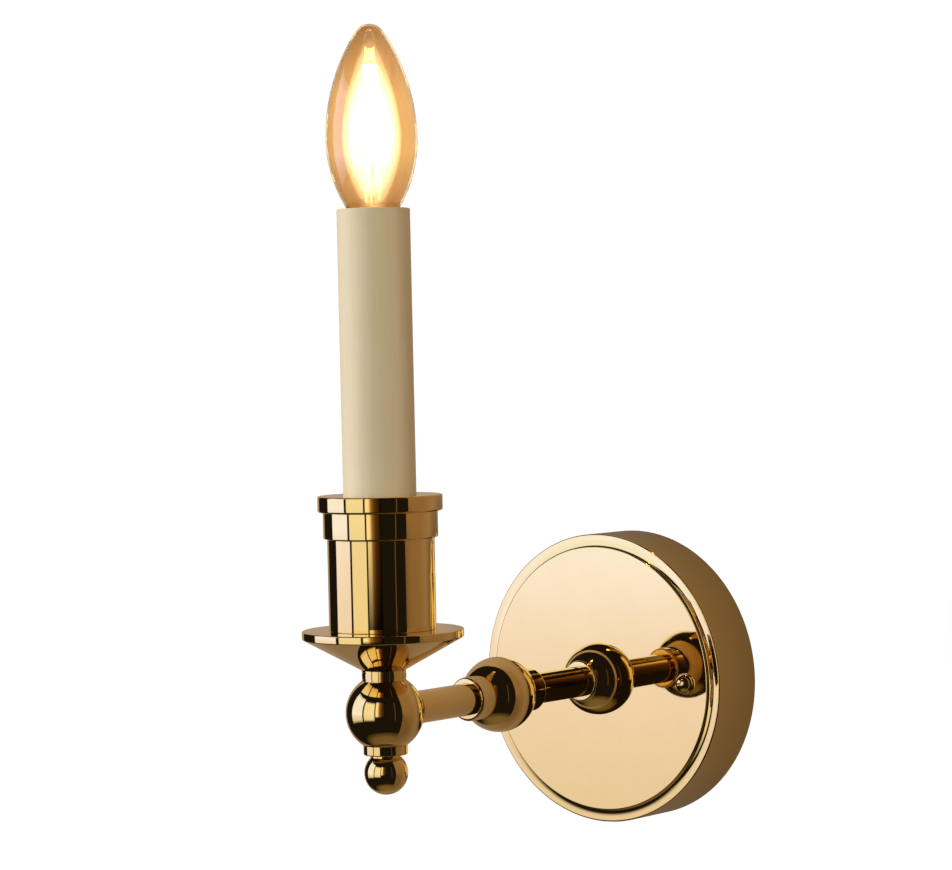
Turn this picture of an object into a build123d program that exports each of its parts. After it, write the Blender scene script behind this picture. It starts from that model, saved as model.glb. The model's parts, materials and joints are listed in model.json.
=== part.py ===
from build123d import *
import os
from math import atan2, cos, degrees, radians, sin, sqrt, tan

# Electric candle wall sconce in polished brass.  Millimetres, +Z up.  The wall is the
# plane y = 0, the arm runs along -Y and the origin is the centre of the wall fixing.
# Pieces on the arm are turned about Z, where z is the distance from the wall, and then
# laid on the arm.  Pieces of the candle stand on the vertical axis at the arm's end,
# where z is the height above the arm.

# Backplate
PLATE_R = 60.0
PLATE_DEPTH = 25.6
PLATE_WALL = 1.5
DISC_R = 55.0
DISC_RISE = 1.4
DISC_EDGE_R = 0.7
COVE_R = 0.45
FLARE_START_R = 56.8
FLARE_RISE = 0.28
FLARE_R = 17.0
RIM_EDGE_R = 0.7
DISC_FACE = PLATE_DEPTH + DISC_RISE
PLATE_BACK = DISC_FACE - PLATE_WALL
FIXING_X = 44.0

# Wall bracket
STRAP_W = 22.0
STRAP_T = 2.0
STRAP_REACH = 55.0
CROSS_REACH = 51.0
SLOT_Z = 34.0
SLOT_L = 12.0
SLOT_W = 5.0
CABLE_HOLE_R = 6.5
CABLE_BORE_R = 4.0
M4_R = 2.0
M4_CLEAR_R = 2.15
M4_NUT_FLATS = 7.0
M4_NUT_H = 3.2
DOME_NUT_FLANGE_R = 4.2
DOME_NUT_FLANGE = 0.7
DOME_NUT_R = 3.8
STUD_END = DISC_FACE + 2.6
EARTH_SCREW_Z = -22.0

# Arm: M10 x 1 tie tube through ball, tubes, knop and dome
THREAD_R = 5.0
THREAD_PITCH = 1.0
THREAD_BORE_R = 3.6
CLEAR_R = 5.15
NUT_FLATS = 14.0
NUT_H = 3.0
WASHER_R = 9.0
WASHER_T = 1.0
REACH = 163.0
BALL_R = 15.0
ARM_TUBE_R = 6.35
ARM_TUBE_BORE_R = 5.3
SOCKET_R = 6.4
SOCKET_DEPTH = 4.0
TIE_START = 17.0
TIE_END = 153.0

# Dome on the plate and knop in the middle of the arm
DOME_LIP_R = 8.6
DOME_LIP = 13.4
DOME_ROUND_R = 1.0
KNOP_Y = 93.5
KNOP_COLLAR_R = 8.7
KNOP_COLLAR = 20.5
KNOP_GROOVE = 0.6
LIP_ROUND_R = 1.1
END_RING_R = 7.2
END_RING_L = 3.0

# Ball at the arm's end, and its finial
CAVITY_R = 9.5
FINIAL_THREAD_R = 3.0
FINIAL_COLLAR_R = 8.5
FINIAL_COLLAR_BOTTOM = -16.0
FINIAL_NECK_R = 5.8
FINIAL_BALL_R = 8.4
FINIAL_BALL_Z = -23.05

# Neck collar, drip tray and candle cup
NECK_R = 8.5
NECK_TOP = 16.4
TRAY_R = 31.0
TRAY_EDGE_LOW = 28.8
TRAY_TOP = 31.8
CUP_R = 20.5
CUP_WALL = 2.0
CUP_FLOOR = 3.0
BAND_R = 21.95
BAND_LOW = 66.9
CUP_TOP = 77.0
RIM_R = 23.9
RIM_TOP = 83.2
SPIGOT_L = 4.0
STAND_Z = TRAY_TOP + CUP_FLOOR

# Candle sleeve
SLEEVE_R = 14.0
SLEEVE_BORE_R = 13.0
SLEEVE_TOP = 192.1
SLEEVE_CLEAR = 0.1

# Lampholder on top of the stem tube
HOLDER_R = 11.2
HOLDER_LOW = 137.2
HOLDER_FLOOR = 4.0
CORE_LOW = 153.2
CORE_TOP = 167.2
SKIRT_R = 12.3
SKIRT_TOP = 187.2
SKIRT_LIP_R = 8.6
SHELL_BORE_R = 7.0
SHELL_R = 7.4
SHELL_LOW = 163.2
SHELL_TOP = 181.4
STEM_LOW = 9.8
STEM_TOP = 142.2
TERMINAL_X = 5.0
TERMINAL_Z = 156.2
STRIP_T = 0.4
STRIP_W = 3.5
POCKET_LOW = SHELL_LOW - 2.5
STRIP_Z = POCKET_LOW + STRIP_T / 2 + 0.05

# Candle lamp with an E14 cap
CAP_CREST_R = 6.9
CAP_ROOT_R = 6.4
CAP_PITCH = 2.82
CAP_TURNS = 5
CAP_LOW = 164.8
CAP_BAND_R = 7.15
CAP_BAND_LOW = 181.8
CAP_TOP = 185.6
CAP_WALL = 0.4
TIP_LOW = 161.8
GLASS_R = 17.5
GLASS_T = 0.7
GLASS_MID_Z = 218.7
GLASS_UPPER_R = 73.7
GLASS_LOWER_R = 51.0
GLASS_NOSE_R = 6.2
GLASS_NOSE_RISE = sqrt((GLASS_UPPER_R - GLASS_NOSE_R) ** 2 - (GLASS_UPPER_R - GLASS_R) ** 2)
GLASS_NOSE_Z = GLASS_MID_Z + GLASS_NOSE_RISE
GLASS_NECK_R = 6.3
GLASS_BLEND_R = 5.0
GLASS_LOW = 182.5
POST_LOW = GLASS_LOW + 21.7
FILAMENTS = 4
FILAMENT_R = 0.8
FILAMENT_LOW = (5.0, 209.2)
FILAMENT_TOP = (1.9, 246.7)
LEAD_R = 0.3

# Wiring
WIRE_R = 1.1
WIRE_GAP = 1.2
WIRE_BEND_R = 13.0
BLOCK_PITCH = 8.0
BLOCK_Z = 18.0
BLOCK_L = 16.0
BARREL_R = 2.5
BARREL_BORE_R = 1.5
BARREL_Y = 8.0

FROM_BASE = (Align.CENTER, Align.CENTER, Align.MIN)


def on_arm(shape):
    """Turn a piece so that its +Z, the distance from the wall, runs along -Y."""
    return Rot(90, 0, 0) * shape


def on_candle_axis(shape):
    """Move a piece made about Z to the vertical axis at the arm's end."""
    return Pos(0, -REACH, 0) * shape


def turned(points, radii=0):
    """Solid of revolution about Z from a closed outline of (radius, height) points."""
    corners = [(radius, 0, height) for radius, height in points]
    outline = FilletPolyline(*corners, radius=radii, close=True)
    return revolve(make_face(outline), Axis.Z)


def rod(radius, low, high):
    """Round bar about Z between two heights."""
    return Pos(0, 0, low) * Cylinder(radius, high - low, align=FROM_BASE)


def tube(outer, inner, low, high):
    """Round tube about Z between two heights."""
    return rod(outer, low, high) - rod(inner, low, high)


def thread_points(low, high):
    """Outline points of a fine thread, drawn as rings, going up from low to high."""
    depth = THREAD_PITCH / 2
    turns = int((high - low) / THREAD_PITCH)
    points = []
    for turn in range(turns):
        base = low + turn * THREAD_PITCH
        points.append((THREAD_R - depth, base))
        points.append((THREAD_R, base + depth))
    points.append((THREAD_R - depth, low + turns * THREAD_PITCH))
    points.append((THREAD_R, low + turns * THREAD_PITCH + depth))
    return points


def hexagon_nut(flats, height, bore_r, bevel):
    """Hexagon nut standing on its face, with its corners chamfered."""
    hexagon = RegularPolygon(flats / 2, 6, major_radius=False)
    nut = extrude(hexagon - Circle(bore_r), height)
    corner_r = flats / sqrt(3)
    limit = [(0, 0), (corner_r - 2 * bevel, 0), (corner_r, bevel), (corner_r, height - bevel)]
    limit += [(corner_r - 2 * bevel, height), (0, height)]
    return nut & turned(limit)


def lock_nut(low):
    """Thin hexagon nut for the M10 x 1 tube."""
    return Pos(0, 0, low) * hexagon_nut(NUT_FLATS, NUT_H, THREAD_R, 0.5)


# ---------------------------------------------------------------- backplate and bracket


def backplate():
    """Deep pressed cup with a raised polished disc inside a gently flared rim."""
    inner_disc_r = DISC_R - PLATE_WALL
    inner_r = PLATE_R - PLATE_WALL
    points = [(PLATE_R, 0), (PLATE_R, PLATE_DEPTH), (FLARE_START_R, PLATE_DEPTH)]
    points += [(DISC_R, PLATE_DEPTH + FLARE_RISE), (DISC_R, DISC_FACE), (CLEAR_R, DISC_FACE)]
    points += [(CLEAR_R, PLATE_BACK), (inner_disc_r, PLATE_BACK)]
    points += [(inner_disc_r, PLATE_DEPTH - PLATE_WALL), (inner_r, PLATE_DEPTH - PLATE_WALL), (inner_r, 0)]
    plate = turned(points, [0, RIM_EDGE_R, FLARE_R, COVE_R, DISC_EDGE_R, 0, 0, 0.5, 0, 1.0, 0])
    for x in (-FIXING_X, FIXING_X):
        plate -= Pos(x, 0, 0) * rod(M4_CLEAR_R, PLATE_BACK - 1, DISC_FACE + 1)
    return on_arm(plate)


def wall_bracket():
    """Flat steel cross: slotted upright for the wall screws, crossbar for the plate's studs."""
    upright = Pos(0, 0, STRAP_T / 2) * Box(STRAP_W, 2 * STRAP_REACH, STRAP_T)
    crossbar = Pos(0, 0, STRAP_T / 2) * Box(2 * CROSS_REACH, STRAP_W, STRAP_T)
    cross = fillet((upright + crossbar).edges().filter_by(Axis.Z), 3)
    for z in (-SLOT_Z, SLOT_Z):
        cross -= Pos(0, z, 0) * extrude(Rot(0, 0, 90) * SlotOverall(SLOT_L, SLOT_W), 2 * STRAP_T, both=True)
    holes = [(0, 0, CABLE_HOLE_R), (0, EARTH_SCREW_Z, M4_R)]
    holes += [(x, BLOCK_Z, 1.25) for x in (-BLOCK_PITCH / 2, BLOCK_PITCH / 2)]
    holes += [(x, 0, M4_R) for x in (-FIXING_X, FIXING_X)]
    for x, z, radius in holes:
        cross -= Pos(x, z, 0) * Cylinder(radius, 3 * STRAP_T)
    return on_arm(cross)


def at_fixings(shape):
    """The shape at both of the plate's fixings, on the arm's side of the wall."""
    return Compound(children=[on_arm(Pos(x, 0, 0) * shape) for x in (-FIXING_X, FIXING_X)])


def plate_studs():
    """Two M4 studs, screwed into the crossbar, that come out through the plate."""
    return at_fixings(rod(M4_R, 0.1, STUD_END))


def stud_nuts():
    """Two nuts that lock the studs on the crossbar."""
    return at_fixings(Pos(0, 0, STRAP_T) * hexagon_nut(M4_NUT_FLATS, M4_NUT_H, M4_R, 0.3))


def dome_nuts():
    """Two polished domed nuts with a thin flange, which hold the plate on its studs."""
    flange = DISC_FACE + DOME_NUT_FLANGE
    dome = Pos(0, 0, flange - 0.2) * (Sphere(DOME_NUT_R) & rod(DOME_NUT_R, 0, DOME_NUT_R))
    base = [(0, DISC_FACE), (DOME_NUT_FLANGE_R, DISC_FACE), (DOME_NUT_FLANGE_R, flange), (0, flange)]
    nut = turned(base, [0, 0, 0.3, 0]) + dome
    return at_fixings(nut - rod(M4_R, DISC_FACE - 1, STUD_END + 0.1))


def cable_grommet():
    """Rubber bush in the strap's centre hole, where the wall cable comes through."""
    points = [(CABLE_BORE_R, 0), (CABLE_HOLE_R, 0), (CABLE_HOLE_R, STRAP_T), (8.0, STRAP_T)]
    points += [(8.0, STRAP_T + 1.4), (CABLE_BORE_R, STRAP_T + 1.4)]
    return on_arm(turned(points, [0, 0, 0, 0.3, 0.6, 0.4]))


def earth_screw():
    """M4 pan-head screw that clamps the earth tag to the strap."""
    head_low = STRAP_T + 0.8
    head = turned([(0, head_low), (4.0, head_low), (4.0, head_low + 2.4), (0, head_low + 2.4)], [0, 0, 0.9, 0])
    cross = Pos(0, 0, head_low + 1.9) * (Box(5, 0.9, 1.2) + Box(0.9, 5, 1.2))
    return Pos(0, 0, EARTH_SCREW_Z) * on_arm(head + rod(M4_R, 0.1, head_low) - cross)


def earth_tag():
    """Ring tag under the earth screw, with a crimp barrel for the wire."""
    ring = Circle(4.2) + Pos(4.5, 0) * Rectangle(5, 3.2) - Circle(M4_CLEAR_R)
    plate = extrude(ring, 0.8)
    barrel = Pos(0, 0, 2.3) * Rot(0, 90, 0) * tube(1.9, WIRE_R, 5.5, 10.0)
    tag = plate + (barrel - Pos(7.5, 0, -5) * Box(10, 10, 10))
    return Pos(0, 0, EARTH_SCREW_Z) * on_arm(Pos(0, 0, STRAP_T) * Rot(0, 0, 45) * tag)


# ---------------------------------------------------------------------- terminal block


def block_ways():
    """Centres of the terminal block's ways along X."""
    return [(way - 1) * BLOCK_PITCH for way in range(3)]


def terminal_screw_places():
    """Where the six clamping screws stand, as (x, z)."""
    return [(x, BLOCK_Z + side * 3.8) for x in block_ways() for side in (-1, 1)]


def terminal_block():
    """Three-way moulded connector strip."""
    base = Pos(0, -STRAP_T - 2.0, BLOCK_Z) * Box(3 * BLOCK_PITCH, 4.0, BLOCK_L)
    block = fillet(base.edges().filter_by(Axis.Y), 1.0)
    for x in block_ways():
        block += Pos(x, -BARREL_Y, BLOCK_Z) * Cylinder(3.5, BLOCK_L)
        block += Pos(x, -STRAP_T - 2.5, BLOCK_Z) * Box(6.0, 5.0, BLOCK_L)
    for x, z in terminal_screw_places():
        block += Pos(x, -BARREL_Y, z) * Rot(90, 0, 0) * Cylinder(2.5, 6.5, align=FROM_BASE)
        block -= Pos(x, -BARREL_Y, z) * Rot(90, 0, 0) * Cylinder(1.65, 7.0, align=FROM_BASE)
    for x in block_ways():
        block -= Pos(x, -BARREL_Y, BLOCK_Z) * Cylinder(BARREL_R, BLOCK_L + 1)
    for x in (-BLOCK_PITCH / 2, BLOCK_PITCH / 2):
        block -= Pos(x, 0, BLOCK_Z) * Rot(90, 0, 0) * Cylinder(1.3, 20)
    return block


def terminal_barrels():
    """Brass barrels of the terminal block, drilled for wires and screws."""
    barrels = []
    for x in block_ways():
        barrel = Pos(x, -BARREL_Y, BLOCK_Z) * (Cylinder(BARREL_R, 14) - Cylinder(BARREL_BORE_R, 15))
        for screw_x, z in terminal_screw_places():
            if screw_x == x:
                barrel -= Pos(x, -BARREL_Y, z) * Rot(90, 0, 0) * Cylinder(1.5, 5, align=FROM_BASE)
        barrels.append(barrel)
    return Compound(children=barrels)


def terminal_screws():
    """Six slotted clamping screws, each down on its wire."""
    screws = []
    for x, z in terminal_screw_places():
        screw = rod(1.5, WIRE_R + 0.05, 5.2) - Pos(0, 0, 5.2) * Box(4, 0.6, 1.4)
        screws.append(Pos(x, -BARREL_Y, z) * Rot(90, 0, 0) * screw)
    return Compound(children=screws)


def block_screws():
    """Two small screws that hold the terminal block to the strap."""
    screws = []
    for x in (-BLOCK_PITCH / 2, BLOCK_PITCH / 2):
        screw = rod(1.25, 0.1, STRAP_T + 4.0) + rod(1.0, STRAP_T + 4.0, STRAP_T + 5.0)
        screw -= Pos(0, 0, STRAP_T + 5.0) * Box(3, 0.5, 1.0)
        screws.append(Pos(x, 0, BLOCK_Z) * on_arm(screw))
    return Compound(children=screws)


# --------------------------------------------------------------------------------- arm


def arm_tie_tube():
    """M10 x 1 tube that pulls the arm's pieces together and carries the wires."""
    points = [(THREAD_BORE_R, TIE_START)]
    points += thread_points(TIE_START, TIE_START + 4)
    points += [(THREAD_R, TIE_END), (THREAD_BORE_R, TIE_END)]
    return on_arm(turned(points))


def stem_tube():
    """M10 x 1 tube from the ball up through tray and cup to the lampholder."""
    nut_top = STAND_Z + WASHER_T + NUT_H
    points = [(THREAD_BORE_R, STEM_LOW), (THREAD_R, STEM_LOW), (THREAD_R, nut_top)]
    points += thread_points(nut_top, nut_top + 8)
    holder_nut_low = HOLDER_LOW - NUT_H
    points += thread_points(holder_nut_low - 12, holder_nut_low - 2)
    points += [(THREAD_R, STEM_TOP), (THREAD_BORE_R, STEM_TOP)]
    return on_candle_axis(turned(points))


def lock_nuts():
    """Nuts behind the plate, in the cup and under the lampholder."""
    plate_nut = on_arm(lock_nut(PLATE_BACK - WASHER_T - NUT_H))
    cup_nut = on_candle_axis(lock_nut(STAND_Z + WASHER_T))
    holder_nut = on_candle_axis(lock_nut(HOLDER_LOW - NUT_H))
    return Compound(children=[plate_nut, cup_nut, holder_nut])


def washers():
    """Plain washers under the plate nut and the cup nut."""
    plate_washer = on_arm(tube(WASHER_R, CLEAR_R, PLATE_BACK - WASHER_T, PLATE_BACK))
    cup_washer = on_candle_axis(tube(WASHER_R, CLEAR_R, STAND_Z, STAND_Z + WASHER_T))
    return Compound(children=[plate_washer, cup_washer])


def wall_dome():
    """Half ball on the plate, with a lipped socket for the rear tube."""
    dome = Sphere(BALL_R) & rod(BALL_R + 1, 0, BALL_R + 1)
    lip = [(0, 5), (DOME_LIP_R, 5), (DOME_LIP_R, DOME_LIP), (0, DOME_LIP)]
    dome += turned(lip, [0, 0, DOME_ROUND_R, 0])
    dome -= rod(CLEAR_R, -1, BALL_R)
    dome -= rod(SOCKET_R, DOME_LIP - SOCKET_DEPTH, BALL_R)
    return on_arm(Pos(0, 0, DISC_FACE) * dome)


def arm_tube(low, high):
    """Plain arm tube between two distances from the wall."""
    return on_arm(tube(ARM_TUBE_R, ARM_TUBE_BORE_R, low, high))


def rear_arm_tube():
    """Arm tube between the dome and the knop."""
    return arm_tube(DISC_FACE + DOME_LIP - SOCKET_DEPTH, KNOP_Y - KNOP_COLLAR + SOCKET_DEPTH)


def front_arm_tube():
    """Arm tube between the knop and the ball."""
    return arm_tube(KNOP_Y + KNOP_COLLAR - SOCKET_DEPTH, REACH - BALL_R + SOCKET_DEPTH - 1)


def arm_knop():
    """Turned ball with a collar each side and a fine groove at each collar's root."""
    collar = [(0, -KNOP_COLLAR), (KNOP_COLLAR_R, -KNOP_COLLAR), (KNOP_COLLAR_R, KNOP_COLLAR), (0, KNOP_COLLAR)]
    knop = Sphere(BALL_R) + turned(collar, [0, LIP_ROUND_R, LIP_ROUND_R, 0])
    root = sqrt(BALL_R**2 - KNOP_COLLAR_R**2)
    for side in (-1, 1):
        middle = side * (root + KNOP_GROOVE / 2)
        groove = tube(BALL_R, KNOP_COLLAR_R - 0.4, middle - KNOP_GROOVE / 2, middle + KNOP_GROOVE / 2)
        knop -= groove
        socket_low = min(side * KNOP_COLLAR, side * (KNOP_COLLAR - SOCKET_DEPTH))
        knop -= rod(SOCKET_R, socket_low, socket_low + SOCKET_DEPTH)
    knop -= rod(CLEAR_R, -KNOP_COLLAR, KNOP_COLLAR)
    return on_arm(Pos(0, 0, KNOP_Y) * knop)


def arm_end_ring():
    """Thin ring with a middle groove, seated on the ball where the arm enters."""
    ball_side = REACH - sqrt(BALL_R**2 - END_RING_R**2)
    low = ball_side - END_RING_L
    middle = ball_side - END_RING_L / 2
    half = END_RING_L / 2
    points = [(SOCKET_R, low), (END_RING_R, low), (END_RING_R, middle - 0.35), (END_RING_R - 0.5, middle)]
    points += [(END_RING_R, middle + 0.35), (END_RING_R, middle + half + 1), (SOCKET_R, middle + half + 1)]
    ring = turned(points, [0, 0.3, 0.3, 0, 0.3, 0, 0])
    return on_arm(ring - Pos(0, 0, REACH) * Sphere(BALL_R + 0.02))


# --------------------------------------------------------------- ball, finial and cup


def junction_ball():
    """Hollow ball where the arm meets the candle stem."""
    ball = Sphere(BALL_R) - Sphere(CAVITY_R)
    ball -= rod(THREAD_R, 0, BALL_R)
    ball -= rod(FINIAL_THREAD_R, -BALL_R, 0)
    towards_wall = Rot(-90, 0, 0)
    ball -= towards_wall * rod(THREAD_R, 0, BALL_R)
    ball -= towards_wall * rod(SOCKET_R, BALL_R - SOCKET_DEPTH + 1, BALL_R + 1)
    return on_candle_axis(ball)


def finial():
    """Turned finial: collar, neck and small ball, with a stud into the big ball."""
    collar = [(0, FINIAL_COLLAR_BOTTOM), (FINIAL_COLLAR_R, FINIAL_COLLAR_BOTTOM), (FINIAL_COLLAR_R, -11), (0, -11)]
    piece = turned(collar, [0, 0.5, 0, 0]) - Sphere(BALL_R + 0.02)
    piece += rod(FINIAL_NECK_R, FINIAL_BALL_Z, FINIAL_COLLAR_BOTTOM)
    piece += Pos(0, 0, FINIAL_BALL_Z) * Sphere(FINIAL_BALL_R)
    piece += rod(FINIAL_THREAD_R, FINIAL_BALL_Z, -CAVITY_R)
    return on_candle_axis(piece)


def neck_collar():
    """Collar between the ball and the tray, with a fine groove near each edge."""
    low = sqrt(BALL_R**2 - NECK_R**2)
    ring = turned([(CLEAR_R, low - 2), (NECK_R, low - 2), (NECK_R, NECK_TOP), (CLEAR_R, NECK_TOP)])
    ring -= Sphere(BALL_R + 0.02)
    for middle in (low + 0.7, NECK_TOP - 0.7):
        ring -= tube(NECK_R + 1, NECK_R - 0.3, middle - 0.2, middle + 0.2)
    return on_candle_axis(ring)


def drip_tray():
    """Flat-topped tray with a thick edge and a straight conical underside."""
    points = [(CLEAR_R, NECK_TOP), (NECK_R, NECK_TOP), (TRAY_R, TRAY_EDGE_LOW)]
    points += [(TRAY_R, TRAY_TOP), (CLEAR_R, TRAY_TOP)]
    return on_candle_axis(turned(points, [0, 0.5, 0.5, 0.4, 0]))


def candle_cup():
    """Straight cup with a thicker band round its mouth."""
    bore_r = CUP_R - CUP_WALL
    points = [(CLEAR_R, TRAY_TOP), (CUP_R, TRAY_TOP), (CUP_R, BAND_LOW), (BAND_R, BAND_LOW), (BAND_R, CUP_TOP)]
    points += [(bore_r, CUP_TOP), (bore_r, STAND_Z), (CLEAR_R, STAND_Z)]
    return on_candle_axis(turned(points, [0, 0.3, 0.3, 0.5, 0.2, 0, 1.0, 0]))


def cup_rim_ring():
    """Top ring of the cup: it closes the mouth round the candle sleeve."""
    bore_r = SLEEVE_R + SLEEVE_CLEAR
    spigot_r = CUP_R - CUP_WALL - 0.02
    points = [(bore_r, CUP_TOP - SPIGOT_L), (spigot_r, CUP_TOP - SPIGOT_L), (spigot_r, CUP_TOP), (RIM_R, CUP_TOP)]
    points += [(RIM_R, RIM_TOP), (bore_r, RIM_TOP)]
    return on_candle_axis(turned(points, [0, 0.3, 0, 0.8, 0.6, 0.2]))


def candle_sleeve():
    """Candle-shaped sleeve that stands in the cup over the lampholder."""
    points = [(SLEEVE_BORE_R, STAND_Z), (SLEEVE_R, STAND_Z), (SLEEVE_R, SLEEVE_TOP), (SLEEVE_BORE_R, SLEEVE_TOP)]
    return on_candle_axis(turned(points, [0, 0.2, 0.45, 0.3]))


# -------------------------------------------------------------------------- lampholder


def holder_base():
    """Metal base of the lampholder, threaded on the stem tube."""
    wall = 1.0
    points = [(THREAD_R, HOLDER_LOW), (HOLDER_R, HOLDER_LOW), (HOLDER_R, CORE_LOW), (HOLDER_R - wall, CORE_LOW)]
    points += [(HOLDER_R - wall, HOLDER_LOW + HOLDER_FLOOR), (THREAD_R, HOLDER_LOW + HOLDER_FLOOR)]
    return on_candle_axis(turned(points, [0, 1.5, 0, 0, 0.5, 0]))


def holder_core():
    """Insulating core with a pocket for the screw shell and slots for the contacts."""
    core = rod(HOLDER_R, CORE_LOW, CORE_TOP) - rod(SHELL_R, POCKET_LOW, CORE_TOP)
    for side in (-1, 1):
        core -= Pos(side * (TERMINAL_X + 1.3), 0, 0) * rod(1.3, CORE_LOW, TERMINAL_Z + 2.5)
        slot_low = Pos(side * TERMINAL_X, 0, CORE_LOW)
        core -= slot_low * Box(STRIP_T + 0.2, STRIP_W + 0.2, 20, align=FROM_BASE)
        core -= Pos(side * TERMINAL_X, 0, TERMINAL_Z) * Rot(0, side * 90, 0) * rod(1.25, 0, HOLDER_R)
        core -= Pos(side * TERMINAL_X, 0, TERMINAL_Z) * Rot(0, side * 90, 0) * rod(2.1, 3.6, HOLDER_R)
    return on_candle_axis(core)


def contact_strip(points, width, bend_r):
    """Bent strip of constant thickness whose middle line runs through (x, z) points."""
    path = FilletPolyline(*[(x, 0, z) for x, z in points], radius=bend_r)
    section = Plane(origin=path @ 0, x_dir=(0, 1, 0), z_dir=path % 0) * Rectangle(width, STRIP_T)
    return sweep(section, path=path)


def centre_contact():
    """Spring strip from the live terminal to the tip of the lamp."""
    points = [(-TERMINAL_X, CORE_LOW + 0.5), (-TERMINAL_X, STRIP_Z), (-1.5, STRIP_Z), (2.2, TIP_LOW - 0.3)]
    return on_candle_axis(contact_strip(points, STRIP_W, 0.5))


def shell_contact():
    """Strip from the neutral terminal to the underside of the screw shell."""
    shell_x = (SHELL_BORE_R + SHELL_R) / 2 - 0.1
    points = [(TERMINAL_X, CORE_LOW + 0.5), (TERMINAL_X, STRIP_Z), (shell_x, STRIP_Z), (shell_x, SHELL_LOW)]
    return on_candle_axis(contact_strip(points, 1.0, 0.3))


def holder_screw_shell():
    """Brass shell that takes the lamp's cap."""
    return on_candle_axis(tube(SHELL_R, SHELL_BORE_R, SHELL_LOW, SHELL_TOP))


def holder_skirt():
    """Outer skirt of the lampholder, with a lip over the screw shell."""
    points = [(HOLDER_R, CORE_LOW), (SKIRT_R, CORE_LOW), (SKIRT_R, SKIRT_TOP), (SKIRT_LIP_R, SKIRT_TOP)]
    points += [(SKIRT_LIP_R, SHELL_TOP), (HOLDER_R, SHELL_TOP)]
    return on_candle_axis(turned(points, [0, 0.3, 1.0, 0.5, 0.3, 0]))


def holder_screws():
    """Two terminal screws of the lampholder."""
    screws = []
    for side in (-1, 1):
        screw = rod(1.25, 2.45, 3.6) + rod(2.1, 3.6, 5.4) - Pos(0, 0, 5.4) * Box(5, 0.6, 1.2)
        screws.append(Pos(side * TERMINAL_X, 0, TERMINAL_Z) * Rot(0, side * 90, 0) * screw)
    return on_candle_axis(Compound(children=screws))


# -------------------------------------------------------------------------------- lamp


def arc_about(centre, radius, start, end):
    """Arc in the XZ plane about a centre (x, z), between two angles in degrees."""
    points = []
    for angle in (start, (start + end) / 2, end):
        x = centre[0] + radius * cos(radians(angle))
        z = centre[1] + radius * sin(radians(angle))
        points.append((x, 0, z))
    return ThreePointArc(*points)


def glass_form(inset):
    """Solid of the candle-shaped envelope, taken in by inset from the outer surface."""
    upper = (GLASS_R - GLASS_UPPER_R, GLASS_MID_Z)
    lower = (GLASS_R - GLASS_LOWER_R, GLASS_MID_Z)
    nose = (0, GLASS_NOSE_Z)
    blend_x = GLASS_NECK_R + GLASS_BLEND_R
    blend_drop = sqrt((GLASS_LOWER_R + GLASS_BLEND_R) ** 2 - (blend_x - lower[0]) ** 2)
    blend = (blend_x, GLASS_MID_Z - blend_drop)
    nose_angle = degrees(atan2(nose[1] - upper[1], nose[0] - upper[0]))
    blend_angle = degrees(atan2(-blend_drop, blend_x - lower[0]))
    neck_r = GLASS_NECK_R - inset
    edges = [
        arc_about(nose, GLASS_NOSE_R - inset, 90, nose_angle),
        arc_about(upper, GLASS_UPPER_R - inset, nose_angle, 0),
        arc_about(lower, GLASS_LOWER_R - inset, 0, blend_angle),
        arc_about(blend, GLASS_BLEND_R + inset, 180 + blend_angle, 180),
    ]
    edges.append(Line((neck_r, 0, blend[1]), (neck_r, 0, GLASS_LOW)))
    edges.append(Line((neck_r, 0, GLASS_LOW), (0, 0, GLASS_LOW)))
    edges.append(Line((0, 0, GLASS_LOW), (0, 0, GLASS_NOSE_Z + GLASS_NOSE_R - inset)))
    return revolve(make_face(edges), Axis.Z)


def bulb_glass():
    """Thin amber envelope, open at the neck."""
    return on_candle_axis(glass_form(0) - glass_form(GLASS_T))


def bulb_stem():
    """Glass flare and post inside the neck that carries the filaments."""
    inner_r = GLASS_NECK_R - GLASS_T
    points = [(0, GLASS_LOW), (inner_r, GLASS_LOW), (inner_r, GLASS_LOW + 1.2), (2.6, GLASS_LOW + 8.7)]
    points += [(2.0, POST_LOW - 1), (0, POST_LOW)]
    return on_candle_axis(turned(points, [0, 0, 0.5, 2.0, 0.5, 0]))


def filament_places():
    """Angles of the filaments round the lamp's axis."""
    return [45 + filament * 360 / FILAMENTS for filament in range(FILAMENTS)]


def slanted_rod(radius, start, end):
    """Round bar between two (x, z) points in the XZ plane."""
    rise = Vector(end[0] - start[0], 0, end[1] - start[1])
    base = Plane(origin=(start[0], 0, start[1]), z_dir=rise)
    return base * Cylinder(radius, rise.length, align=FROM_BASE)


def bulb_filaments():
    """Four upright filament rods, leaning together at the top."""
    filament = slanted_rod(FILAMENT_R, FILAMENT_LOW, FILAMENT_TOP)
    return on_candle_axis(Compound(children=[Rot(0, 0, angle) * filament for angle in filament_places()]))


def bulb_supports():
    """Centre post with a top disc, and a short lead under each filament."""
    disc_z = FILAMENT_TOP[1] + 0.15
    post = rod(0.45, POST_LOW + 0.1, disc_z + 1.5) + rod(FILAMENT_TOP[0] + FILAMENT_R, disc_z, disc_z + 0.5)
    wires = [post]
    for angle in filament_places():
        lead = slanted_rod(LEAD_R, (2.35, POST_LOW + 0.4), (FILAMENT_LOW[0], FILAMENT_LOW[1] - 0.1))
        wires.append(Rot(0, 0, angle) * lead)
    return on_candle_axis(Compound(children=wires))


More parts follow.
